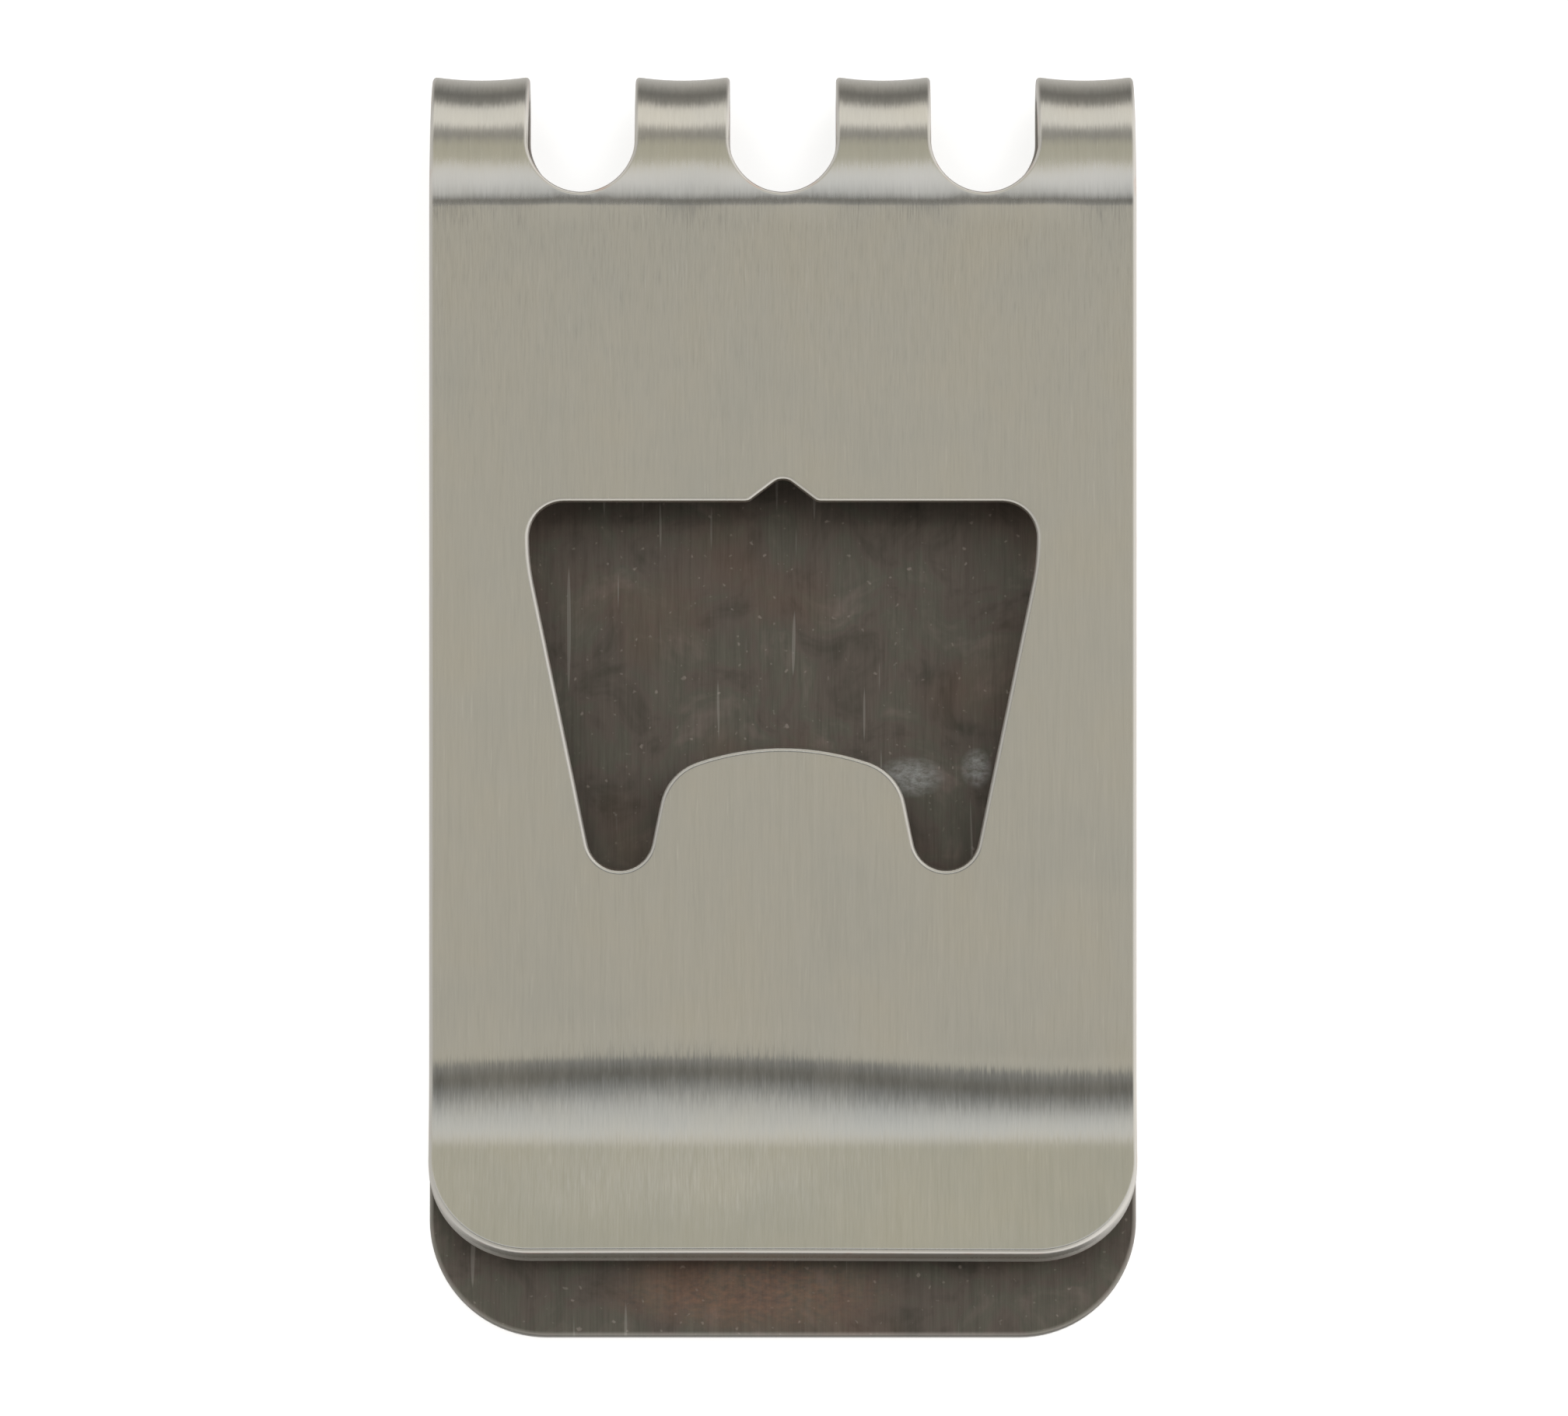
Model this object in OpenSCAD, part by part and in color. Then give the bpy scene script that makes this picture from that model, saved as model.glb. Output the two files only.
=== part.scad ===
// Money clip with a crown-cap opener, folded from one strip of spring steel.
// Row frame: X across the width, Y from the clip's open end to its fold, Z up.
// The clip lies on its back plate, and the front leaf leans down to meet it.

/* [Steel strip] */
// Width of the clip across its side edges
clip_w = 32; // [31:0.5:40]
// Thickness of the sheet
sheet = 1.2; // [0.8:0.1:1.3]

/* [Back plate] */
// Length of the flat back plate, from its bottom edge to the fold
plate_l = 54.4; // [51:0.1:60]
// Radius of the back plate's two bottom corners
plate_corner_r = 5.3; // [2:0.1:8]

/* [Fold] */
// Outside radius of the tight part of the fold
fold_r = 3.2; // [2.8:0.1:4]
// Outside radius of the gentle part, where the front leaf starts
shoulder_r = 6.6; // [6.2:0.1:7]
// Angle that the gentle part turns through
shoulder_turn = 60; // [52:1:70]

/* [Straps and slots] */
// Width of each of the three slots through the fold
slot_w = 4.85; // [4.4:0.05:5.5]
// Distance between the centre lines of neighbouring slots
slot_pitch = 9.15; // [8.5:0.05:9.5]
// Distance from the start of the fold up to the round end of each slot
slot_start = 0.63; // [0.4:0.01:1.2]

/* [Front leaf] */
// Length of the flat part of the front leaf
leaf_l = 38.45; // [37:0.05:42]
// Gap between the leaf and the back plate where they come closest
pinch_gap = 0.5; // [0.2:0.05:1]

/* [Lifting lip] */
// Angle that the lip flares out from the leaf
lip_flare = 26; // [15:1:35]
// Inside radius of the bend into the lip
lip_bend_r = 9.8; // [6:0.1:12]
// Length of the flat part of the lip
lip_l = 5; // [4.6:0.05:8]
// Radius of the lip's two corners
lip_corner_r = 4.6; // [2:0.1:4.6]

/* [Opener window] */
// Distance from the start of the fold down to the window's top edge
window_drop = 13.45; // [10:0.05:15]
// Greatest width of the window
window_w = 23; // [21:0.1:25]
// Height of the window, from its top edge to the bottoms of its two legs
window_h = 16.65; // [15:0.05:18]
// Radius of the window's top corners
window_corner_r = 1.6; // [1:0.1:2.5]
// Radius of the swell below each top corner
window_swell_r = 10.4; // [6:0.1:14]
// Angle that the window's sides slant inwards
window_slant = 11.7; // [9:0.1:13]
// Radius of the bottom of each leg
leg_r = 1.5; // [1.2:0.05:1.8]

/* [Cap tongue] */
// Height of the tongue above the bottoms of the legs
tongue_h = 5.55; // [4.5:0.05:7]
// Radius of the tongue's crowned top edge
tongue_crown_r = 12; // [9:0.5:20]
// Radius of the tongue's shoulders
tongue_corner_r = 2.55; // [1.5:0.05:3]

/* [Centring notch] */
// Height of the pointed notch in the window's top edge
notch_h = 1; // [0.6:0.05:1.5]
// Slope of the notch's flanks
notch_slope = 37; // [30:1:50]
// Radius of the notch's tip
notch_tip_r = 0.7; // [0.3:0.05:0.9]
// Radius where each flank meets the top edge
notch_root_r = 0.5; // [0.2:0.05:1]

/* [Build] */
// Which sub-part to build

/* [Hidden] */
$fn = 96;
STEEL = [0.66, 0.64, 0.59];
STRAP_STEEL = [0.74, 0.72, 0.66];
LIP_STEEL = [0.60, 0.58, 0.52];
arc_step = 4;                 // most degrees between two points on an arc
reach = 60;                   // length of the cutters, longer than the clip is deep

// Side view of the strip in the leaf's own frame, as [distance up the leaf, height].
// The leaf's front face lies along height 0, and the fold starts at distance 0.
shoulder_c = [0, -shoulder_r];
fold_c = shoulder_c + (shoulder_r - fold_r) * [sin(shoulder_turn), cos(shoulder_turn)];
lip_c = [-leaf_l, lip_bend_r];

// The leaf leans so that its inner face ends one pinch gap from the back plate
to_pinch = [leaf_l + fold_c[0], -sheet - fold_c[1]];
lean = atan2(to_pinch[1], to_pinch[0]) + asin((fold_r - sheet - pinch_gap) / norm(to_pinch));

// The line through the slots' round ends, where the straps meet the leaf and the plate
split_y = slot_start + slot_w / 2;
strap_edges = [
    -clip_w / 2, -slot_pitch - slot_w / 2, -slot_pitch + slot_w / 2, -slot_w / 2,
    slot_w / 2, slot_pitch - slot_w / 2, slot_pitch + slot_w / 2, clip_w / 2
];

// In the row frame the clip lies on its back plate, centred on its length
fold_y = (plate_l - fold_r) / 2;
to_plate = [-cos(lean), sin(lean)];                      // down the back plate
off_plate = [-sin(lean), -cos(lean)];                    // out of its rear face
plate_end = fold_c + plate_l * to_plate;                 // above its bottom edge

// Flat part of the lip, from its bend to its bottom edge
to_lip = [-cos(lip_flare), sin(lip_flare)];
off_lip = [-sin(lip_flare), -cos(lip_flare)];
lip_start = lip_c + lip_bend_r * off_lip;
lip_end = lip_start + lip_l * to_lip;

// Window, tongue and notch, as points [across, up the leaf]
window_top = -window_drop;
window_bottom = window_top - window_h;
corner_c = [window_w / 2 - window_corner_r, window_top - window_corner_r];
swell_c = [window_w / 2 - window_swell_r, corner_c[1]];
swell_end = swell_c + window_swell_r * [cos(window_slant), -sin(window_slant)];
leg_y = window_bottom + leg_r;
leg_c = [
    swell_end[0] - (leg_r + (swell_end[1] - leg_y) * sin(window_slant)) / cos(window_slant),
    leg_y
];
crown_c = [0, window_bottom + tongue_h - tongue_crown_r];
tongue_in = [-cos(window_slant), -sin(window_slant)];    // from a leg into the tongue
tongue_up = [-sin(window_slant), cos(window_slant)];     // up the tongue's right side
tongue_off = (crown_c - leg_c) * tongue_in - leg_r - tongue_corner_r;
tongue_rise = sqrt(pow(tongue_crown_r - tongue_corner_r, 2) - pow(tongue_off, 2));
tongue_c = crown_c - tongue_off * tongue_in + tongue_rise * tongue_up;
crown_end = atan2(tongue_c[1] - crown_c[1], tongue_c[0]);
notch_c = [0, window_top + notch_h - notch_tip_r];
notch_half_w = notch_tip_r / sin(notch_slope)
    + (notch_h - notch_tip_r) / tan(notch_slope);
notch_root_c = [notch_half_w + notch_root_r * tan(notch_slope / 2), window_top + notch_root_r];

// Points on an arc about c, from angle a to angle b
function arc(c, r, a, b) =
    let (steps = ceil(abs(b - a) / arc_step))
    [for (i = [0:steps]) c + r * [cos(a + (b - a) * i / steps), sin(a + (b - a) * i / steps)]];

function reversed(points) = [for (i = [len(points) - 1:-1:0]) points[i]];

// Angles about the two fold centres where the split line crosses a face of radius r
function shoulder_split(r) = acos(split_y / r);
function fold_split(r) = -acos((split_y - fold_c[0]) / r);

// One face of the strip within each zone, inset from its outer face by the depth d
function leaf_face(d) = concat(
    [[-leaf_l, -d]],
    arc(shoulder_c, shoulder_r - d, 90, shoulder_split(shoulder_r - d))
);
function strap_face(d) = concat(
    arc(shoulder_c, shoulder_r - d, shoulder_split(shoulder_r - d), 90 - shoulder_turn),
    arc(fold_c, fold_r - d, 90 - shoulder_turn, fold_split(fold_r - d))
);
function plate_face(d) = concat(
    arc(fold_c, fold_r - d, fold_split(fold_r - d), -90 - lean),
    [plate_end + (fold_r - d) * off_plate]
);
function lip_face(d) = concat(
    arc(lip_c, lip_bend_r + d, -90, -90 - lip_flare),
    [lip_end + d * off_lip]
);

// Right half of the window's edge, from the notch's tip to the tongue's crown
function half_window() = concat(
    arc(notch_c, notch_tip_r, 90, 90 - notch_slope),
    arc(notch_root_c, notch_root_r, 270 - notch_slope, 270),
    arc(corner_c, window_corner_r, 90, 0),
    arc(swell_c, window_swell_r, 0, -window_slant),
    arc(leg_c, leg_r, -window_slant, window_slant - 180),
    arc(tongue_c, tongue_corner_r, window_slant, crown_end),
    arc(crown_c, tongue_crown_r, crown_end, 90)
);

// Rest the clip on its back plate: the leaf's frame goes to its place in the row frame
module rest_on_plate() {
    translate([0, fold_y, fold_r])
        rotate([lean, 0, 0])
            translate([0, -fold_c[0], -fold_c[1]])
                children();
}

// Sheet between an outer and an inner face of the side view, from x0 to x1
module strip(outer, inner, x0 = -clip_w / 2, x1 = clip_w / 2) {
    translate([x0, 0, 0])
        rotate([90, 0, 90])
            linear_extrude(x1 - x0)
                polygon(concat(outer, reversed(inner)));
}

// Block as wide as the strip, with two corners rounded where it ends, at y = 0
module round_ended(l, r) {
    right = arc([clip_w / 2 - r, r], r, 0, -90);
    left = arc([r - clip_w / 2, r], r, -90, -180);
    linear_extrude(reach, center = true)
        polygon(concat([[clip_w / 2, l]], right, left, [[-clip_w / 2, l]]));
}

// Round ends of the three slots, cut straight through both walls of the fold
module slot_ends() {
    for (x = [-slot_pitch, 0, slot_pitch])
        translate([x, split_y, -reach / 2])
            cylinder(h = reach, d = slot_w);
}

module window() {
    right = half_window();
    left = [for (i = [len(right) - 2:-1:1]) [-right[i][0], right[i][1]]];
    linear_extrude(4 * sheet, center = true)
        polygon(concat(right, left));
}

module back_plate() {
    color(STEEL)
        rest_on_plate()
            difference() {
                intersection() {
                    strip(plate_face(0), plate_face(sheet));
                    translate([0, plate_end[0], plate_end[1]])
                        rotate([-lean, 0, 0])
                            round_ended(plate_l + fold_r, plate_corner_r);
                }
                slot_ends();
            }
}

// One strap over the fold; straps are counted from the left
module strap(i) {
    color(STRAP_STEEL)
        rest_on_plate()
            strip(strap_face(0), strap_face(sheet), strap_edges[2 * i], strap_edges[2 * i + 1]);
}

module outer_left_strap() { strap(0); }
module inner_left_strap() { strap(1); }
module inner_right_strap() { strap(2); }
module outer_right_strap() { strap(3); }

module front_leaf() {
    color(STEEL)
        rest_on_plate()
            difference() {
                strip(leaf_face(0), leaf_face(sheet));
                slot_ends();
                window();
            }
}

module lifting_lip() {
    color(LIP_STEEL)
        rest_on_plate()
            intersection() {
                strip(lip_face(0), lip_face(sheet));
                translate([0, lip_end[0], lip_end[1]])
                    rotate([-lip_flare, 0, 0])
                        round_ended(lip_l + lip_bend_r, lip_corner_r);
            }
}

back_plate();
outer_left_strap();
inner_left_strap();
inner_right_strap();
outer_right_strap();
front_leaf();
lifting_lip();
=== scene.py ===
import math

import bpy
import numpy as np
from mathutils import Matrix, Vector
from mathutils.geometry import delaunay_2d_cdt


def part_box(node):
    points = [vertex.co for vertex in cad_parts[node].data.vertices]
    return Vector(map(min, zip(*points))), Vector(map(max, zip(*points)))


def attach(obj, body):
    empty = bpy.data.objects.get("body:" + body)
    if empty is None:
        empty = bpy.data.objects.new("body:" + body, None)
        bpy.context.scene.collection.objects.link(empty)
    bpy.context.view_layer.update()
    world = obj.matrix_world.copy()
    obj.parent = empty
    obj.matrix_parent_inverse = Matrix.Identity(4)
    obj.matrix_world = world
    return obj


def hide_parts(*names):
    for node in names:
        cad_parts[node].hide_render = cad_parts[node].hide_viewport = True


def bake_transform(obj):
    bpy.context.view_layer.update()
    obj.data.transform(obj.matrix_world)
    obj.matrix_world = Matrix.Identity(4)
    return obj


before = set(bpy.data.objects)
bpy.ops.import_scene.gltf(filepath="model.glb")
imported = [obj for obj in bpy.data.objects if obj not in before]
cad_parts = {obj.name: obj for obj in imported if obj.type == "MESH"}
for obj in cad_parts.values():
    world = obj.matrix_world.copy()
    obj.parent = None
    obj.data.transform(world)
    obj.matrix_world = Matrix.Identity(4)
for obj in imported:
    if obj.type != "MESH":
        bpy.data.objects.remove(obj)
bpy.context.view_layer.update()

MM = 0.001

# Sizes of the strip in millimetres, as in the CAD model
SHEET = 1.2
FOLD_R, SHOULDER_R, SHOULDER_TURN = 3.2, 6.6, 60.0
LEAF_L, PINCH_GAP = 38.45, 0.5
LIP_FLARE, LIP_BEND_R, LIP_L, LIP_CORNER_R = 26.0, 9.8, 5.0, 4.6
PLATE_CORNER_R = 5.3
SLOT_W, SLOT_PITCH, SLOT_START = 4.85, 9.15, 0.63
WINDOW_DROP, WINDOW_W, WINDOW_H = 13.45, 23.0, 16.65
CORNER_R, SWELL_R, SLANT, LEG_R = 1.6, 10.4, 11.7, 1.5
TONGUE_H, CROWN_R, TONGUE_CORNER_R = 5.55, 12.0, 2.55
NOTCH_H, NOTCH_SLOPE, NOTCH_TIP_R, NOTCH_ROOT_R = 1.0, 37.0, 0.7, 0.5

# Sizes that only the visible surface has
EDGE_R = 0.21            # tumbled rounding of every cut edge
EDGE_STEPS = 6           # faces round each quarter of that rounding
LOWER_POLISH_HIGHLIGHT = 0.35        # polish and painted highlight on the lower half of a cut edge, where the upper half has 1
BEND_BLEND = 0.45        # length over which the sheet eases into a bend
STRAP_DISH = 0.17        # how far a strap's middle lies below its edges
CREASE_TURN = 11.5       # slight crease where the press first bent the leaf, in degrees
CREASE_AT = (0.0, 0.4)   # where along the strip that crease is
FOLD_ROUNDS = ((9.0, 22.0), (7.1, 55.0), (5.5, 90.0))  # outer radius, until this much turn
REAR_R = 2.085           # outer radius from there to the back plate
LIP_WAVE = 0.12          # height of the slow wave across the lip
LIP_CREST_X = -3.5       # where across the lip that wave is highest
LIP_HALF_WAVES = (24.0, 16.5)  # its half wavelengths left and right of there
LIP_LIFT = 0.075         # keeps that wave clear of the back plate
CREASE_WAVE = 0.015      # unevenness across the crease
STEP = 0.01              # spacing of the points that the side view is summed from
BENT_SPACING, FLAT_SPACING = 0.2, 0.8  # spacing of mesh points along the strip
BEND_MARGIN, LEAF_MARGIN = 0.8, 0.9    # the closer spacing reaches this far past the bends
SHEET_COLUMN, STRAP_COLUMN = 0.9, 0.4  # spacing of mesh points across the strip
SEAM_SPACING, SEAM_ROOM = 0.6, 0.1     # and across a seam, clear of its ends
BOX_SHIFT = 0.1          # moves the fold back from the end of the CAD model's box
FLOOR_GAP = 0.02         # the paper lies this far under the clip

# Marks on the inner side: (across, along the strip), (half width, half length), tone
SCUFF, STAIN = (0.80, 0.82, 0.82, 1), (0.42, 0.22, 0.14, 1)
MARKS = (
    ((5.8, 43.1), (1.7, 1.0), SCUFF),
    ((8.8, 42.7), (0.75, 1.0), SCUFF),
    ((-1.5, 66.6), (7.5, 1.9), STAIN),
)

# Finish of the steel
TINT = (0.60, 0.585, 0.535)
ROUGHNESS, ANISOTROPY = 0.235, 0.88
GROOVE_LEAN = 0.085      # how far the brushed grooves lean, as a share of their normal
GRAIN_DEPTH = 0.01       # height of the brushed grain, in mm
OXIDE = 0.3              # share of the inner side that scatters light instead of mirroring it

# Camera, in millimetres
CAMERA_DISTANCE = 500.0
VIEW_WIDTH = 70.9        # width of the view at the front leaf
AIM = (0.05, -22.77)     # point on the strip that the view is centred on
SENSOR = 36.0

# Where the clip is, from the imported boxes
PLATE_LO, PLATE_HI = (np.array(corner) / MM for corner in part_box("back_plate"))
STRAP_HI = np.array(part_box("outer_left_strap")[1]) / MM
HALF_W = PLATE_HI[0]
PLATE_END_Y = PLATE_LO[1]
FOLD_Y = STRAP_HI[1] - FOLD_R
PLATE_L = FOLD_Y - PLATE_END_Y


def rad(degrees):
    return math.radians(degrees)


def fold_centre():
    """Centre of the tight part of the fold in the leaf's own frame: (up the leaf, height)."""
    offset = SHOULDER_R - FOLD_R
    return np.array([
        offset * math.sin(rad(SHOULDER_TURN)),
        offset * math.cos(rad(SHOULDER_TURN)) - SHOULDER_R,
    ])


def leaf_lean():
    """Angle in degrees between the front leaf and the back plate."""
    up, down = LEAF_L + fold_centre()[0], -SHEET - fold_centre()[1]
    narrowing = (FOLD_R - SHEET - PINCH_GAP) / math.hypot(up, down)
    return math.degrees(math.atan2(down, up) + math.asin(narrowing))


FOLD_C = fold_centre()
LEAN = leaf_lean()

# Places along the strip, measured over its outer face from where the fold starts
LIP_BEND_L = LIP_BEND_R * rad(LIP_FLARE)
LIP_TOP = -LEAF_L - LIP_BEND_L
LIP_END = LIP_TOP - LIP_L
LIP_SEAM = -LEAF_L + 2.2    # the lip piece takes this much of the flat leaf
SPLIT_Y = SLOT_START + SLOT_W / 2
SLOTS = (-SLOT_PITCH, 0.0, SLOT_PITCH)


# ---------------------------------------------------------------- side view

def side_view():
    """Samples of the side view: place along the strip, position (up the leaf, height), turn."""
    knots = [(LIP_TOP, LIP_FLARE), (-LEAF_L, 0.0), (CREASE_AT[0], 0.0), (CREASE_AT[1], CREASE_TURN)]
    for radius, until in FOLD_ROUNDS + ((REAR_R, 180 + LEAN),):
        at, turned = knots[-1]
        knots.append((at + radius * rad(until - turned), until))
    s = np.arange(LIP_END - 1, knots[-1][0] + PLATE_L + 3, STEP)
    turn = np.interp(s, [k[0] for k in knots], [rad(k[1]) for k in knots])
    width = int(BEND_BLEND / STEP)
    window = np.hanning(width + 2)[1:-1]
    padded = np.pad(turn, width, mode="edge")
    turn = -np.convolve(padded, window / window.sum(), mode="same")[width:-width]
    y = np.cumsum(np.cos(turn)) * STEP
    z = np.cumsum(np.sin(turn)) * STEP
    middle = np.searchsorted(s, -LEAF_L / 2)
    return s, y + s[middle] - y[middle], z - z[middle], turn, knots[-1][0]


SIDE_S, SIDE_Y, SIDE_Z, SIDE_TURN, PLATE_START = side_view()


def along_at(y, behind):
    """Place along the strip where it is y up the leaf, on its front or behind the fold."""
    top = int(np.argmax(SIDE_Y))
    if behind:
        return float(np.interp(-y, -SIDE_Y[top:], SIDE_S[top:]))
    return float(np.interp(y, SIDE_Y[:top], SIDE_S[:top]))


LEAF_SPLIT, PLATE_SPLIT = along_at(SPLIT_Y, False), along_at(SPLIT_Y, True)
LEAF_SLOT_END, PLATE_SLOT_END = along_at(SLOT_START, False), along_at(SLOT_START, True)


def smooth(t):
    t = np.clip(t, 0, 1)
    return t * t * (3 - 2 * t)


def strap_centre(x):
    """Centre line and half width of the strap over each x."""
    inner = SLOT_PITCH - SLOT_W / 2
    outer = SLOT_PITCH + SLOT_W / 2
    is_outer = np.abs(x) > SLOT_PITCH
    centre = np.where(is_outer, (HALF_W + outer) / 2, (inner + SLOT_W / 2) / 2)
    half = np.where(is_outer, (HALF_W - outer) / 2, (inner - SLOT_W / 2) / 2)
    return np.sign(x) * centre, half


def dish(x, s):
    """How far the surface sinks where the fold draws a strap's middle in."""
    centre, half = strap_centre(x)
    across = np.clip(np.abs(x - centre) / half, 0, 1)
    up = smooth((s - LEAF_SPLIT) / 5.5) * smooth((PLATE_SPLIT + 1.2 - s) / 3.5)
    return STRAP_DISH * (1 - across ** 2) * up


def lip_bow(x, s):
    """Slow waviness that bending the lip leaves across the sheet."""
    from_crest = x - LIP_CREST_X
    left, right = LIP_HALF_WAVES
    wave = np.cos(math.pi * from_crest / np.where(from_crest > 0, right, left))
    into = -s - LEAF_L
    height = LIP_WAVE * wave + LIP_LIFT
    return height * (smooth((into + 1.2) / 4.4) - 0.5 * smooth((into - 3.2) / 5.3))


def crease_bow(x, s):
    """Unevenness across the crease where the fold starts."""
    wave = np.sin(0.62 * x + 1.1) + 0.6 * np.sin(1.7 * x - 0.4)
    return CREASE_WAVE * wave * (smooth((s + 1.0) / 1.8) - smooth((s - 0.8) / 1.8))


def crease_highlight(flat, depth):
    """Painted highlight in patches along the outer side of the crease."""
    x, s = flat[:, 0], flat[:, 1]
    patches = 0.68 + 0.10 * np.sin(0.9 * x + 2.0) + 0.05 * np.sin(2.3 * x)
    return patches * np.exp(-((s - 1.1) / 0.95) ** 2) * (depth < 0.1)


def place(x, s, depth):
    """Points in mm, before the last shift, of places on the sheet and depths below its face."""
    y = np.interp(s, SIDE_S, SIDE_Y)
    z = np.interp(s, SIDE_S, SIDE_Z)
    turn = np.interp(s, SIDE_S, SIDE_TURN)
    below = depth + dish(x, s) - lip_bow(x, s) - crease_bow(x, s)
    y = y + below * np.sin(turn) - FOLD_C[0]
    z = z - below * np.cos(turn) - FOLD_C[1]
    cos, sin = math.cos(rad(LEAN)), math.sin(rad(LEAN))
    return np.stack([x, FOLD_Y + y * cos - z * sin, FOLD_R + y * sin + z * cos], axis=-1)


def plate_shift():
    """The eased bends shift the back plate a little; this puts the clip back in its box."""
    flat_part = PLATE_START + PLATE_L / 2
    made = place(np.array([0.0]), np.array([flat_part]), np.array([0.0]))[0]
    offset = np.array([0.0, -BOX_SHIFT, -made[2]])
    return offset, flat_part + made[1] + offset[1] - PLATE_END_Y


OFFSET, PLATE_END = plate_shift()


def surface(x, s, depth):
    """Points in mm, in the part's frame, of places on the sheet and depths below its face."""
    return place(x, s, depth) + OFFSET


def surface_point(x, s, depth=0.0):
    return surface(np.array([x]), np.array([s]), np.array([depth]))[0]


# ---------------------------------------------------------------- outlines

def arc(centre, radius, a, b, stretch=1.0, step=6.0):
    """Points on an arc from angle a to b in degrees; stretch scales it along the strip."""
    n = max(2, math.ceil(abs(b - a) / step))
    angles = np.radians(np.linspace(a, b, n + 1))
    return np.array(centre) + radius * np.stack([np.cos(angles), stretch * np.sin(angles)], axis=1)


def join(*runs):
    """One run of points from several, without repeats where they meet."""
    points = [np.array(runs[0][0])]
    for run in runs:
        for p in run:
            if np.hypot(*(np.array(p) - points[-1])) > 1e-6:
                points.append(np.array(p))
    return np.array(points)


def spacing(s):
    """Distance between points along the strip: close where it bends."""
    in_fold = -BEND_MARGIN < s < PLATE_START + BEND_MARGIN
    in_lip = LIP_TOP - BEND_MARGIN < s < -LEAF_L + LEAF_MARGIN
    return BENT_SPACING if in_fold or in_lip else FLAT_SPACING


def refine(points):
    """Adds points along the straight stretches of an outline."""
    out = [points[0]]
    for a, b in zip(points[:-1], points[1:]):
        if abs(b[1] - a[1]) > 3:
            steps, s = [], a[1]
            way = math.copysign(1, b[1] - a[1])
            while (b[1] - s) * way > 1.5 * spacing(s):
                s += way * spacing(s)
                steps.append((s - a[1]) / (b[1] - a[1]))
            out += [a + (b - a) * t for t in steps] + [b]
        else:
            n = max(1, math.ceil(np.hypot(*(b - a)) / spacing((a[1] + b[1]) / 2)))
            out += [a + (b - a) * i / n for i in range(1, n + 1)]
    return np.array(out)


def seam(x0, x1, s):
    """A straight cut across the strip, where one piece runs on into the next."""
    n = max(2, round(abs(x1 - x0) / SEAM_SPACING))
    return ("seam", np.stack([np.linspace(x0, x1, n + 1), np.full(n + 1, s)], axis=1))


def edge(*runs):
    """A real edge of the steel, which is rounded."""
    return ("edge", refine(join(*runs)))


def slot_end(x, s, tip):
    """Round end of a slot, from its right side to its left; tip is where it is deepest."""
    stretch = (s - tip) / (SLOT_W / 2)
    return arc((x, s), SLOT_W / 2, 0, -180, stretch, 4)


def window_edge():
    """Edge of the opener window, clockwise from the notch's tip."""
    top = -WINDOW_DROP
    bottom = top - WINDOW_H
    cos, sin = math.cos(rad(SLANT)), math.sin(rad(SLANT))
    corner = np.array([WINDOW_W / 2 - CORNER_R, top - CORNER_R])
    swell = np.array([WINDOW_W / 2 - SWELL_R, corner[1]])
    swell_end = swell + SWELL_R * np.array([cos, -sin])
    leg_y = bottom + LEG_R
    leg = np.array([swell_end[0] - (LEG_R + (swell_end[1] - leg_y) * sin) / cos, leg_y])
    crown_c = np.array([0, bottom + TONGUE_H - CROWN_R])
    inward, upward = np.array([-cos, -sin]), np.array([-sin, cos])
    off = (crown_c - leg) @ inward - LEG_R - TONGUE_CORNER_R
    rise = math.sqrt((CROWN_R - TONGUE_CORNER_R) ** 2 - off ** 2)
    tongue = crown_c - off * inward + rise * upward
    crown_end = math.degrees(math.atan2(tongue[1] - crown_c[1], tongue[0]))
    tip = np.array([0, top + NOTCH_H - NOTCH_TIP_R])
    slope = rad(NOTCH_SLOPE)
    half = NOTCH_TIP_R / math.sin(slope) + (NOTCH_H - NOTCH_TIP_R) / math.tan(slope)
    root = np.array([half + NOTCH_ROOT_R * math.tan(slope / 2), top + NOTCH_ROOT_R])
    right = join(
        arc(tip, NOTCH_TIP_R, 90, 90 - NOTCH_SLOPE),
        arc(root, NOTCH_ROOT_R, 270 - NOTCH_SLOPE, 270),
        arc(corner, CORNER_R, 90, 0),
        arc(swell, SWELL_R, 0, -SLANT, step=2),
        arc(leg, LEG_R, -SLANT, SLANT - 180),
        arc(tongue, TONGUE_CORNER_R, SLANT, crown_end),
        arc(crown_c, CROWN_R, crown_end, 90, step=2),
    )
    left = right[::-1] * np.array([-1, 1])
    return refine(join(right, left))[:-1]


# ---------------------------------------------------------------- sheet meshes

def edge_normals(points, closed):
    """Directions out of the material, to the right of the way along the edge."""
    if closed:
        along = np.roll(points, -1, axis=0) - np.roll(points, 1, axis=0)
    else:
        along = np.gradient(points, axis=0)
        along[0], along[-1] = points[1] - points[0], points[-1] - points[-2]
    out = np.stack([along[:, 1], -along[:, 0]], axis=1)
    return out / np.linalg.norm(out, axis=1, keepdims=True)


def edge_profile():
    """Rings down a rounded edge: (inset, depth, tilt in degrees, length along the profile)."""
    rings = []
    for i in range(EDGE_STEPS + 1):
        tilt = 90 * i / EDGE_STEPS
        inset = EDGE_R * (1 - math.sin(rad(tilt)))
        rings.append((inset, EDGE_R * (1 - math.cos(rad(tilt))), tilt, EDGE_R * rad(tilt)))
    wall = SHEET - 2 * EDGE_R
    half = EDGE_R * rad(90) + wall / 2
    rings.append((0.0, SHEET / 2, 90, half))
    mirrored = [(i, SHEET - d, 180 - t, 2 * half - w) for i, d, t, w in rings[:-1]]
    return rings + mirrored[::-1]


PROFILE = edge_profile()
RINGS = len(PROFILE)
REACH = {round(depth, 6): reach for _, depth, _, reach in PROFILE}


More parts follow.
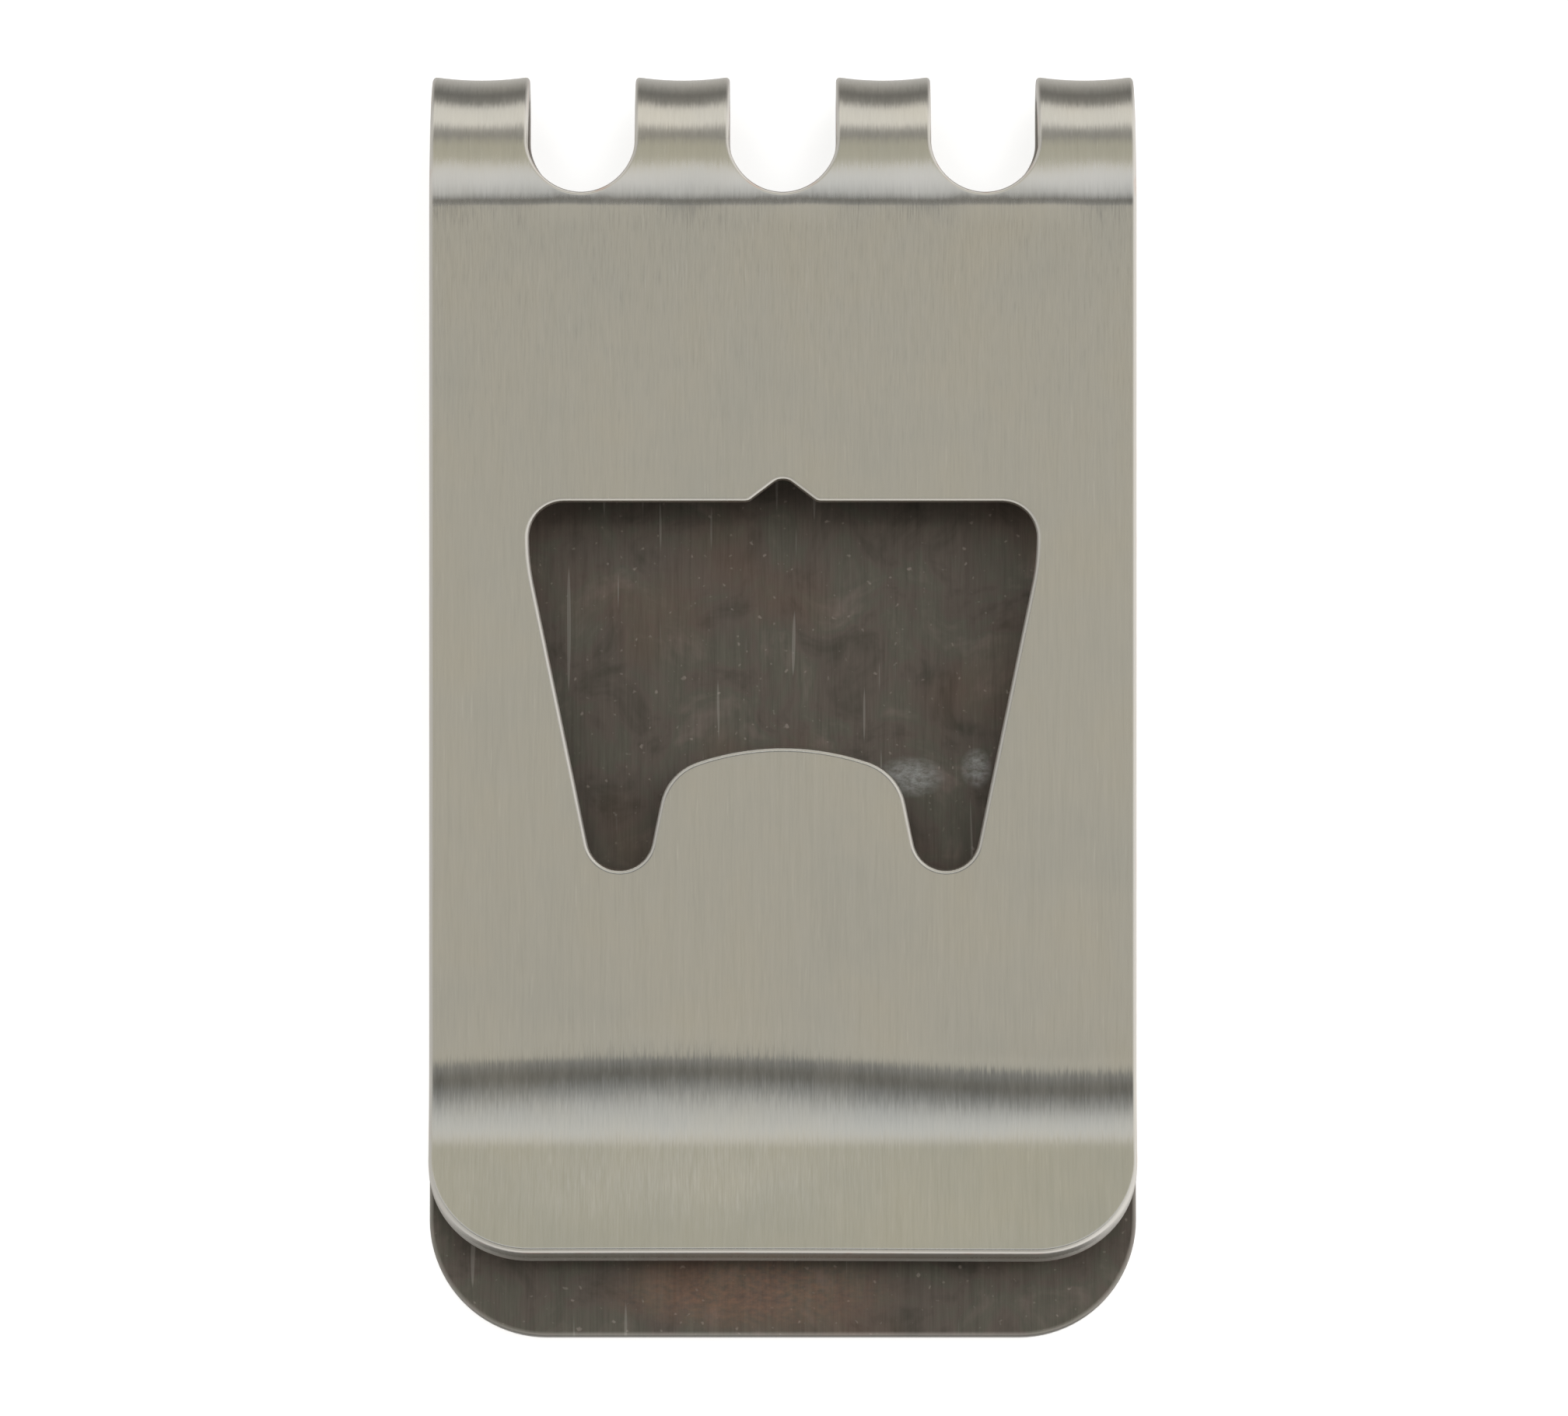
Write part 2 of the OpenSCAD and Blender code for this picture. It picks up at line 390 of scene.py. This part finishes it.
def inside(points, loops):
    """True for the points that lie within an odd number of loops."""
    hit = np.zeros(len(points), bool)
    px, py = points[:, 0], points[:, 1]
    for loop in loops:
        ax, ay = loop[:, 0], loop[:, 1]
        bx, by = np.roll(ax, -1), np.roll(ay, -1)
        for x0, y0, x1, y1 in zip(ax, ay, bx, by):
            if y0 == y1:
                continue
            crosses = (y0 > py) != (y1 > py)
            hit ^= crosses & (px < (x1 - x0) * (py - y0) / (y1 - y0) + x0)
    return hit


def clearance(points, loops):
    """Distance from each point to the nearest outline point."""
    outline = np.concatenate(loops)
    out = np.empty(len(points))
    for i in range(0, len(points), 500):
        part = points[i:i + 500, None, :] - outline[None, :, :]
        out[i:i + 500] = np.sqrt((part ** 2).sum(axis=2)).min(axis=1)
    return out


def grid_points(loops, column):
    """Rows of points within the outline, close together where the sheet bends."""
    every = np.concatenate(loops)
    x0, x1 = every[:, 0].min(), every[:, 0].max()
    s, s1 = every[:, 1].min(), every[:, 1].max()
    columns = np.linspace(x0, x1, max(3, round((x1 - x0) / column)) + 1)[1:-1]
    rows = []
    s += spacing(s)
    while s < s1 - 0.5 * spacing(s1):
        rows.append(s)
        s += spacing(s)
    points = np.array([(x, row) for row in rows for x in columns])
    points = points[inside(points, loops)]
    room = np.array([0.5 * spacing(p[1]) for p in points])
    return points[clearance(points, loops) > np.minimum(room, 0.3)]


class Sheet:
    """Collects the vertices and faces of one closed piece of sheet metal."""

    def __init__(self):
        self.flat, self.depth, self.out, self.tilt, self.rim_polish_highlight = [], [], [], [], []
        self.faces, self.charts = [], []
        self.caps = set()

    def add(self, points, depth, out, tilt, rim_polish_highlight):
        first = len(self.flat)
        self.flat += [tuple(p) for p in points]
        self.depth += [depth] * len(points)
        self.out += [tuple(o) for o in out]
        self.tilt += [tilt] * len(points)
        self.rim_polish_highlight += [rim_polish_highlight] * len(points)
        return list(range(first, first + len(points)))

    def add_flat(self, points):
        """Points on both faces of the sheet, away from its rounded edges."""
        none = [(0.0, 0.0)] * len(points)
        top = self.add(points, 0.0, none, 0.0, 0.0)
        return top, self.add(points, SHEET, none, 180.0, 0.0)

    def face(self, corners, chart):
        self.faces.append(corners)
        self.charts.append(chart)


def add_rings(sheet, points, closed):
    """Rings of vertices round one rounded edge, joined by faces."""
    out = edge_normals(points, closed)
    rings = []
    for inset, depth, tilt, _ in PROFILE:
        # Edge polish plus a painted highlight round the edge, weaker on the lower half
        rim_polish_highlight = math.sin(rad(tilt)) * (1.0 if depth < SHEET / 2 else LOWER_POLISH_HIGHLIGHT)
        rings.append(sheet.add(points - out * inset, depth, out, tilt, rim_polish_highlight))
    n = len(points)
    for k in range(RINGS - 1):
        chart = "top" if k < RINGS // 2 else "bottom"
        for j in range(n if closed else n - 1):
            nxt = (j + 1) % n
            corners = [rings[k][j], rings[k + 1][j], rings[k + 1][nxt], rings[k][nxt]]
            sheet.face(corners, chart)
    return rings


def add_cap(sheet, points, before, after):
    """The cut face of a seam between the rings of the edges on either side of it."""
    low, high = sorted((sheet.flat[before[0][-1]][0], sheet.flat[after[0][0]][0]))
    kept = [p for p in points[1:-1] if low + SEAM_ROOM < p[0] < high - SEAM_ROOM]
    top, bottom = sheet.add_flat(kept)
    cap = [ring[-1] for ring in before] + bottom
    cap += [ring[0] for ring in reversed(after)] + top[::-1]
    sheet.caps.add(len(sheet.faces))
    sheet.face(cap, "top")
    return top, bottom


def build_sheet(loops, column):
    """A closed sheet from outlines of seams and rounded edges, with material on the left."""
    sheet = Sheet()
    tops, bottoms, outline = [], [], []
    for loop in loops:
        closed = len(loop) == 1
        rings_of = {i: add_rings(sheet, points, closed)
                    for i, (kind, points) in enumerate(loop) if kind == "edge"}
        top_loop, bottom_loop = [], []
        for i, (kind, points) in enumerate(loop):
            if kind == "edge":
                top, bottom = rings_of[i][0], rings_of[i][-1]
            else:
                before, after = rings_of[(i - 1) % len(loop)], rings_of[(i + 1) % len(loop)]
                top, bottom = add_cap(sheet, points, before, after)
            top_loop += top
            bottom_loop += bottom
        tops.append(top_loop)
        bottoms.append(bottom_loop)
        outline.append(np.array([sheet.flat[v] for v in top_loop]))
    fill_sheet(sheet, tops, bottoms, outline, column)
    return sheet


def fill_sheet(sheet, tops, bottoms, outline, column):
    """Triangulates the two faces of the sheet inside their rounded edges."""
    top_extra, bottom_extra = sheet.add_flat(grid_points(outline, column))
    top = [v for loop in tops for v in loop] + top_extra
    bottom = [v for loop in bottoms for v in loop] + bottom_extra
    edges, start = [], 0
    for loop in tops:
        n = len(loop)
        edges += [(start + i, start + (i + 1) % n) for i in range(n)]
        start += n
    spots = [Vector(sheet.flat[v]) for v in top]
    verts, _, faces, origins, _, _ = delaunay_2d_cdt(spots, edges, [], 0, 1e-7)
    if len(verts) != len(spots):
        raise ValueError("the outline crosses or repeats itself")
    middles = np.array([np.mean([verts[i][:] for i in f], axis=0) for f in faces])
    for f, keep in zip(faces, inside(middles, outline)):
        if keep:
            own = [origins[i][0] for i in f]
            sheet.face([top[i] for i in own], "face")
            sheet.face([bottom[i] for i in reversed(own)], "under")


def shading_normals(flat, depth, out, tilt):
    """Exact normals of the bent sheet, turned outwards round its rounded edges."""
    x, s = flat[:, 0], flat[:, 1]
    e = 0.02
    across = surface(x + e, s, depth) - surface(x - e, s, depth)
    along = surface(x, s + e, depth) - surface(x, s - e, depth)
    across /= np.linalg.norm(across, axis=1, keepdims=True)
    along /= np.linalg.norm(along, axis=1, keepdims=True)
    up = np.cross(across, along)
    side = out[:, :1] * across + out[:, 1:] * along
    angle = np.radians(tilt)[:, None]
    normal = np.cos(angle) * up + np.sin(angle) * side
    return normal / np.linalg.norm(normal, axis=1, keepdims=True)


def grain_reach(chart, depth):
    """Distance round a rounded edge that the grain map has run at this depth."""
    reach = REACH[round(depth, 6)]
    return {"top": reach, "bottom": PROFILE[-1][3] - reach}.get(chart, 0.0)


def point_attribute(mesh, name, values):
    attribute = mesh.attributes.new(name, "FLOAT", "POINT")
    attribute.data.foreach_set("value", values.astype(np.float32))


def make_piece(name, loops, column=SHEET_COLUMN):
    """One bent sheet as an object, with its grain map, edge polish and painted highlight, and exact
    normals.
    """
    sheet = build_sheet(loops, column)
    flat, depth = np.array(sheet.flat), np.array(sheet.depth)
    out, tilt = np.array(sheet.out), np.array(sheet.tilt)
    points = surface(flat[:, 0], flat[:, 1], depth)
    normals = shading_normals(flat, depth, out, tilt)
    mesh = bpy.data.meshes.new(name)
    mesh.from_pydata((points * MM).tolist(), [], sheet.faces)
    grain = mesh.uv_layers.new(name="grain")
    uv, corner_normals = [], []
    for i, (polygon, chart) in enumerate(zip(mesh.polygons, sheet.charts)):
        cap = i in sheet.caps
        polygon.use_smooth = not cap
        flat_normal = polygon.normal.copy()
        for v in polygon.vertices:
            uv.append(flat[v] + out[v] * grain_reach(chart, depth[v]))
            corner_normals.append(flat_normal if cap else normals[v])
    grain.data.foreach_set("uv", np.array(uv, float).ravel())
    # Edge polish and painted highlight round the edges, plus the painted highlight along the crease
    point_attribute(mesh, "polish_with_highlight", np.array(sheet.rim_polish_highlight) + crease_highlight(flat, depth))
    point_attribute(mesh, "inner_side", smooth(depth / SHEET * 3 - 1.6))
    mesh.normals_split_custom_set([tuple(n) for n in corner_normals])
    piece = bpy.data.objects.new(name, mesh)
    bpy.context.scene.collection.objects.link(piece)
    return piece


# ---------------------------------------------------------------- materials

class Nodes:
    """Short calls for making and linking the nodes of one material."""

    def __init__(self, tree):
        self.tree = tree

    def new(self, kind, **values):
        node = self.tree.nodes.new(kind)
        for key, value in values.items():
            setattr(node, key, value)
        return node

    def link(self, a, b):
        self.tree.links.new(a, b)

    def feed(self, socket, value):
        """Sets a constant, or links an output."""
        if isinstance(value, (int, float, tuple)):
            socket.default_value = value
        else:
            self.link(value, socket)

    def math(self, operation, a, b):
        node = self.new("ShaderNodeMath", operation=operation)
        self.feed(node.inputs[0], a)
        self.feed(node.inputs[1], b)
        return node.outputs[0]

    def vector(self, operation, a, b=None):
        node = self.new("ShaderNodeVectorMath", operation=operation)
        self.link(a, node.inputs[0])
        if b is not None:
            self.link(b, node.inputs["Scale"] if operation == "SCALE" else node.inputs[1])
        return node.outputs["Value" if operation == "LENGTH" else "Vector"]

    def mix(self, factor, a, b, blend="MIX"):
        node = self.new("ShaderNodeMix", data_type="RGBA", blend_type=blend)
        for index, value in ((0, factor), (6, a), (7, b)):
            self.feed(node.inputs[index], value)
        return node.outputs[2]

    def noise(self, vector, scale, detail=3.0, roughness=0.55, distortion=0.0):
        node = self.new("ShaderNodeTexNoise")
        node.inputs["Scale"].default_value = scale
        node.inputs["Detail"].default_value = detail
        node.inputs["Roughness"].default_value = roughness
        node.inputs["Distortion"].default_value = distortion
        self.link(vector, node.inputs["Vector"])
        return node.outputs["Fac"]

    def stretch(self, vector, scale, location=(0, 0, 0)):
        node = self.new("ShaderNodeMapping")
        node.inputs["Scale"].default_value = scale
        node.inputs["Location"].default_value = location
        self.link(vector, node.inputs["Vector"])
        return node.outputs["Vector"]

    def ramp(self, value, stops):
        """A colour ramp from (place, grey or colour) stops."""
        node = self.new("ShaderNodeValToRGB")
        ramp = node.color_ramp
        while len(ramp.elements) < len(stops):
            ramp.elements.new(0.5)
        for element, (position, tone) in zip(ramp.elements, stops):
            element.position = position
            element.color = tone if isinstance(tone, tuple) else (tone, tone, tone, 1)
        self.link(value, node.inputs["Fac"])
        return node.outputs["Color"]


def brushed_steel(name):
    """Brushed spring steel: lengthwise grain, scratches, faint stains, edges polished and
    brightened with a painted highlight, a painted highlight along the crease, and a mill finish
    darkened with painted shade on the inner side.
    """
    material = bpy.data.materials.new(name)
    material.use_nodes = True
    n = Nodes(material.node_tree)
    steel = material.node_tree.nodes["Principled BSDF"]
    at = n.new("ShaderNodeUVMap", uv_map="grain").outputs["UV"]
    # Mask of edge polish and painted highlight, on the edges and along the crease
    polish_highlight_mask = n.new("ShaderNodeAttribute", attribute_name="polish_with_highlight").outputs["Fac"]
    under = n.new("ShaderNodeAttribute", attribute_name="inner_side").outputs["Fac"]

    fine = n.noise(n.stretch(at, (11, 0.55, 1)), 1.0, 2.0, 0.6)
    middle = n.noise(n.stretch(at, (3.6, 0.14, 1), (3, 7, 0)), 1.0, 3.0, 0.6)
    cloud = n.noise(at, 0.16, 3.0, 0.6)
    pits = n.noise(at, 5.5, 2.0, 0.7)
    scratch = n.noise(n.stretch(at, (7, 0.5, 1), (1, 5, 0)), 1.0, 1.0, 0.4, 0.2)

    # Colour: streaks along the grain over slow clouds
    streaks = n.math("ADD", n.math("MULTIPLY", fine, 0.5), n.math("MULTIPLY", middle, 0.5))
    streak_tone = n.ramp(streaks, [(0.30, 0.955), (0.50, 1.0), (0.72, 1.035)])
    cloud_tone = n.ramp(cloud, [(0.25, (0.95, 0.965, 0.985, 1)), (0.5, 1.0),
                                (0.78, (1.03, 1.01, 0.97, 1))])
    outer = n.mix(1.0, TINT + (1,), streak_tone, "MULTIPLY")
    outer = n.mix(1.0, outer, cloud_tone, "MULTIPLY")
    marks = n.ramp(scratch, [(0.70, 0.0), (0.76, 1.0)])
    outer = n.mix(n.math("MULTIPLY", marks, 0.10), outer, (0.86, 0.85, 0.82, 1))

    # The inner side is blotchy and brown with stray scratches, as the mill left it, and darker with
    # painted shade inside the clip
    blotch = n.noise(at, 0.33, 4.0, 0.62, 0.6)
    speck = n.ramp(n.noise(at, 3.2, 1.0, 0.4), [(0.70, 0.0), (0.78, 1.0)])
    stray = n.noise(n.stretch(at, (2.6, 0.12, 1), (8, 3, 0)), 1.0, 1.0, 0.3)
    stray = n.ramp(stray, [(0.705, 0.0), (0.725, 1.0)])
    mill_tone_and_shade = n.ramp(blotch, [(0.30, (0.098, 0.090, 0.073, 1)), (0.47, (0.150, 0.126, 0.107, 1)),
                           (0.56, (0.140, 0.133, 0.107, 1)), (0.72, (0.205, 0.167, 0.145, 1))])
    brown = n.ramp(n.noise(at, 0.11, 2.0, 0.5), [(0.50, 0.0), (0.68, 0.55)])
    mill_tone_and_shade = n.mix(brown, mill_tone_and_shade, (0.18, 0.115, 0.085, 1))
    mill_tone_and_shade = n.mix(1.0, mill_tone_and_shade, n.ramp(streaks, [(0.32, 0.84), (0.50, 1.0), (0.70, 1.16)]), "MULTIPLY")
    mill_tone_and_shade = n.mix(n.math("MULTIPLY", speck, 0.25), mill_tone_and_shade, (0.65, 0.56, 0.50, 1))
    mill_tone_and_shade = n.mix(n.math("MULTIPLY", stray, 0.15), mill_tone_and_shade, (0.80, 0.76, 0.70, 1))
    rubbed = n.noise(n.stretch(at, (2.4, 4.5, 1)), 1.0, 3.0, 0.7)
    rubbed = n.ramp(rubbed, [(0.34, 0.08), (0.70, 0.46)])
    for centre, size, tone in MARKS:
        scale = tuple(1 / v for v in size) + (0,)
        shift = tuple(-c / v for c, v in zip(centre, size)) + (0,)
        near = n.ramp(n.vector("LENGTH", n.stretch(at, scale, shift)), [(0.35, 1.0), (1.0, 0.0)])
        mill_tone_and_shade = n.mix(n.math("MULTIPLY", near, rubbed), mill_tone_and_shade, tone)
    colour = n.mix(under, outer, mill_tone_and_shade)

    # Edges are polished by tumbling and brightened with a painted highlight, stronger on the outer
    # half, as is the crease; with a pink heat tint here and there
    heat = n.ramp(n.noise(at, 0.75, 2.0, 0.5), [(0.52, 0.0), (0.68, 0.8)])
    heat = n.math("MULTIPLY", heat, n.ramp(polish_highlight_mask, [(0.85, 0.0), (0.95, 1.0)]))
    rim = n.mix(heat, (0.86, 0.835, 0.80, 1), (0.80, 0.60, 0.52, 1))
    colour = n.mix(n.math("MULTIPLY", polish_highlight_mask, 0.75), colour, rim)
    n.link(colour, steel.inputs["Base Color"])

    # Roughness: varies with the streaks, duller on the edges and on the inner side
    rough = n.math("ADD", ROUGHNESS, n.math("MULTIPLY", n.math("SUBTRACT", middle, 0.5), 0.10))
    rough = n.math("ADD", rough, n.math("MULTIPLY", n.math("SUBTRACT", cloud, 0.5), 0.06))
    rough = n.math("ADD", rough, n.math("MULTIPLY", polish_highlight_mask, 0.12))
    dull = n.math("ADD", n.math("MULTIPLY", blotch, 0.1), 0.07)
    n.link(n.math("ADD", rough, n.math("MULTIPLY", under, dull)), steel.inputs["Roughness"])

    # Height: the brushed grain, with a few pits
    grain = n.math("ADD", n.math("MULTIPLY", fine, 0.6), n.math("MULTIPLY", middle, 0.3))
    grain = n.math("MULTIPLY", grain, n.math("SUBTRACT", 1.0, n.math("MULTIPLY", polish_highlight_mask, 0.85)))
    height = n.math("ADD", grain, n.math("MULTIPLY", pits, 0.05))
    bump = n.new("ShaderNodeBump")
    bump.inputs["Strength"].default_value = 0.3
    bump.inputs["Distance"].default_value = GRAIN_DEPTH * MM
    n.link(height, bump.inputs["Height"])
    tangent = n.new("ShaderNodeTangent", direction_type="UV_MAP", uv_map="grain")
    n.link(tangent.outputs["Tangent"], steel.inputs["Tangent"])

    # Each groove also leans a little along its length, which breaks up reflections in the bends
    face = n.new("ShaderNodeNewGeometry").outputs["Normal"]
    along = n.vector("CROSS_PRODUCT", face, tangent.outputs["Tangent"])
    leaning = n.noise(n.stretch(at, (13, 0.8, 1), (4, 4, 0)), 1.0, 2.0, 0.7)
    amount = n.math("MULTIPLY", n.math("SUBTRACT", leaning, 0.5), GROOVE_LEAN)
    leant = n.vector("ADD", face, n.vector("SCALE", along, amount))
    n.link(n.vector("NORMALIZE", leant), bump.inputs["Normal"])
    n.link(bump.outputs["Normal"], steel.inputs["Normal"])

    # The mill's oxide on the inner side scatters some light
    n.link(n.math("SUBTRACT", 1.0, n.math("MULTIPLY", under, OXIDE)), steel.inputs["Metallic"])
    steel.inputs["Anisotropic"].default_value = ANISOTROPY
    return material


# ---------------------------------------------------------------- studio

def add_camera():
    """Square to the front leaf, as a close product shot."""
    camera = bpy.data.objects.new("camera", bpy.data.cameras.new("camera"))
    bpy.context.scene.collection.objects.link(camera)
    bpy.context.scene.camera = camera
    lean = rad(LEAN)
    back = Vector((0, -math.sin(lean), math.cos(lean)))
    up = Vector((0, math.cos(lean), math.sin(lean)))
    target = Vector(surface_point(*AIM) * MM)
    camera.location = target + back * CAMERA_DISTANCE * MM
    camera.matrix_world = Matrix.Translation(camera.location) @ Matrix((
        Vector((1, 0, 0)), up, back,
    )).transposed().to_4x4()
    camera.data.sensor_width = SENSOR
    camera.data.lens = SENSOR * CAMERA_DISTANCE / VIEW_WIDTH
    camera.data.clip_start, camera.data.clip_end = 0.01, 10


# Light in the room by angle from the line of view towards the fold, measured round the clip:
# (angle in degrees, brightness, tint)
WARM, COOL = (1.0, 0.965, 0.86), (0.96, 0.985, 1.0)
OLIVE, PLAIN = (1.0, 0.975, 0.82), (1.0, 0.975, 0.93)
ROOM = [
    (-180, 0.45, PLAIN), (-155, 0.20, PLAIN), (-110, 0.18, PLAIN), (-88, 0.55, PLAIN),
    (-66, 0.95, PLAIN),
    (-36, 0.55, PLAIN), (-20, 0.42, WARM), (-6, 0.52, WARM), (-1, 0.59, WARM),
    (4.5, 0.65, WARM), (6.0, 0.19, COOL), (10, 0.22, COOL), (12.5, 0.14, WARM), (17, 0.115, WARM),
    (19, 0.20, COOL), (22, 0.27, COOL), (26, 0.45, COOL), (30, 0.66, COOL), (35, 0.78, COOL),
    (39, 0.84, COOL), (43, 0.84, PLAIN), (47, 0.56, OLIVE),
    (62, 0.58, OLIVE), (69, 0.35, PLAIN), (75, 0.40, PLAIN),
    (83, 1.05, PLAIN), (100, 1.00, PLAIN), (109, 0.32, PLAIN), (120, 0.21, PLAIN),
    (131, 0.34, PLAIN), (146, 0.52, PLAIN), (180, 0.62, PLAIN),
]


def add_room():
    """A soft room that is brighter and darker in bands, like windows and walls."""
    world = bpy.data.worlds.new("room")
    bpy.context.scene.world = world
    world.use_nodes = True
    n = Nodes(world.node_tree)
    background = world.node_tree.nodes["Background"]
    direction = n.new("ShaderNodeTexCoord").outputs["Generated"]
    split = n.new("ShaderNodeSeparateXYZ")
    n.link(direction, split.inputs[0])
    lean = rad(LEAN)
    y, z = split.outputs["Y"], split.outputs["Z"]
    cos, sin = math.cos(lean), math.sin(lean)
    ahead = n.math("ADD", n.math("MULTIPLY", y, cos), n.math("MULTIPLY", z, sin))
    towards = n.math("ADD", n.math("MULTIPLY", y, -sin), n.math("MULTIPLY", z, cos))
    angle = n.math("ARCTAN2", ahead, towards)
    fraction = n.math("ADD", n.math("DIVIDE", angle, 2 * math.pi), 0.5)
    stops = [((a + 180) / 360, tuple(v * c for c in tint) + (1,)) for a, v, tint in ROOM]
    tones = n.ramp(fraction, stops)
    across = n.math("ADD", n.math("MULTIPLY", split.outputs["X"], 0.5), 0.5)
    sideways = n.ramp(across, [(0.18, 1.0), (0.36, 0.0), (0.64, 0.0), (0.82, 1.0)])
    lights = n.ramp(across, [(0.3, (0.66, 0.65, 0.63, 1)), (0.7, (1.0, 0.985, 0.96, 1))])
    n.link(n.mix(sideways, tones, lights), background.inputs["Color"])
    background.inputs["Strength"].default_value = 1.0


def add_floor():
    """Plain pale paper that glows a little, so that shadows on it stay faint."""
    mesh = bpy.data.meshes.new("floor")
    r = 8.0  # metres, so that no side view shows its end
    mesh.from_pydata([(-r, -r, 0), (r, -r, 0), (r, r, 0), (-r, r, 0)], [], [(0, 1, 2, 3)])
    floor = bpy.data.objects.new("floor", mesh)
    bpy.context.scene.collection.objects.link(floor)
    floor.location.z = -FLOOR_GAP * MM
    material = bpy.data.materials.new("paper")
    material.use_nodes = True
    paper = material.node_tree.nodes["Principled BSDF"]
    paper.inputs["Base Color"].default_value = (0.60, 0.60, 0.597, 1)
    paper.inputs["Roughness"].default_value = 0.9
    paper.inputs["Emission Color"].default_value = (1, 1, 1, 1)
    paper.inputs["Emission Strength"].default_value = 0.59
    mesh.materials.append(material)
    floor.visible_glossy = False


def add_lights():
    """One wide lamp overhead for the paper; the steel reflects only the room."""
    lamp = bpy.data.lights.new("overhead", "AREA")
    lamp.shape, lamp.size, lamp.size_y, lamp.energy = "RECTANGLE", 0.5, 0.5, 2.2
    light = bpy.data.objects.new("overhead", lamp)
    light.location = (0.0, 0.1, 0.6)
    light.visible_glossy = False
    bpy.context.scene.collection.objects.link(light)
    light.rotation_euler = (Vector((0, 0, 0)) - light.location).to_track_quat("-Z", "Y").to_euler()


# ---------------------------------------------------------------- the clip

def leaf_loops():
    """Outline of the front leaf from the lip's seam to the straps, and its window."""
    run = [seam(-HALF_W, HALF_W, LIP_SEAM)]
    run.append(edge([(HALF_W, LIP_SEAM), (HALF_W, LEAF_SPLIT)]))
    right = HALF_W
    for x in reversed(SLOTS):
        run.append(seam(right, x + SLOT_W / 2, LEAF_SPLIT))
        run.append(edge(slot_end(x, LEAF_SPLIT, LEAF_SLOT_END)))
        right = x - SLOT_W / 2
    run.append(seam(right, -HALF_W, LEAF_SPLIT))
    run.append(edge([(-HALF_W, LEAF_SPLIT), (-HALF_W, LIP_SEAM)]))
    return [run, [("edge", window_edge())]]


def lip_loops():
    """Outline of the lip, with the last of the flat leaf."""
    r, low = LIP_CORNER_R, LIP_END
    round_end = edge(
        [(-HALF_W, LIP_SEAM), (-HALF_W, low + r)],
        arc((-HALF_W + r, low + r), r, 180, 270, step=4),
        arc((HALF_W - r, low + r), r, 270, 360, step=4),
        [(HALF_W, low + r), (HALF_W, LIP_SEAM)],
    )
    return [[seam(HALF_W, -HALF_W, LIP_SEAM), round_end]]


def plate_loops():
    """Outline of the back plate from the straps to its rounded end."""
    r, high = PLATE_CORNER_R, PLATE_END
    run, left = [], -HALF_W
    for x in SLOTS:
        run.append(seam(left, x - SLOT_W / 2, PLATE_SPLIT))
        run.append(edge(slot_end(x, PLATE_SPLIT, PLATE_SLOT_END)[::-1]))
        left = x + SLOT_W / 2
    run.append(seam(left, HALF_W, PLATE_SPLIT))
    run.append(edge(
        [(HALF_W, PLATE_SPLIT), (HALF_W, high - r)],
        arc((HALF_W - r, high - r), r, 0, 90, step=4),
        arc((-HALF_W + r, high - r), r, 90, 180, step=4),
        [(-HALF_W, high - r), (-HALF_W, PLATE_SPLIT)],
    ))
    return [run]


def strap_loops(x0, x1):
    """Outline of one strap over the fold."""
    return [[
        seam(x0, x1, LEAF_SPLIT),
        edge([(x1, LEAF_SPLIT), (x1, PLATE_SPLIT)]),
        seam(x1, x0, PLATE_SPLIT),
        edge([(x0, PLATE_SPLIT), (x0, LEAF_SPLIT)]),
    ]]


def finish_piece(piece, node, material):
    """Gives a piece its steel and hides its CAD node."""
    piece.data.materials.append(material)
    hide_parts(node)


bpy.context.scene.view_settings.view_transform = "Standard"
add_camera()
add_room()
add_lights()
add_floor()

steel = brushed_steel("brushed_spring_steel")

plate = make_piece("back_plate_steel", plate_loops())
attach(plate, "plate")
finish_piece(plate, "back_plate", steel)

leaf = make_piece("front_leaf_steel", leaf_loops())
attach(leaf, "leaf")
finish_piece(leaf, "front_leaf", steel)

lip = make_piece("lifting_lip_steel", lip_loops())
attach(lip, "leaf")
finish_piece(lip, "lifting_lip", steel)

sides = [-HALF_W] + [x + side * SLOT_W / 2 for x in SLOTS for side in (-1, 1)] + [HALF_W]
names = ("outer_left", "inner_left", "inner_right", "outer_right")
for i, name in enumerate(names):
    loops = strap_loops(sides[2 * i], sides[2 * i + 1])
    strap = make_piece(f"{name}_strap_steel", loops, STRAP_COLUMN)
    # Each strap starts to bend just in from its ends, 0.05 mm of height past its seams
    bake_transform(strap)
    finish_piece(strap, f"{name}_strap", steel)
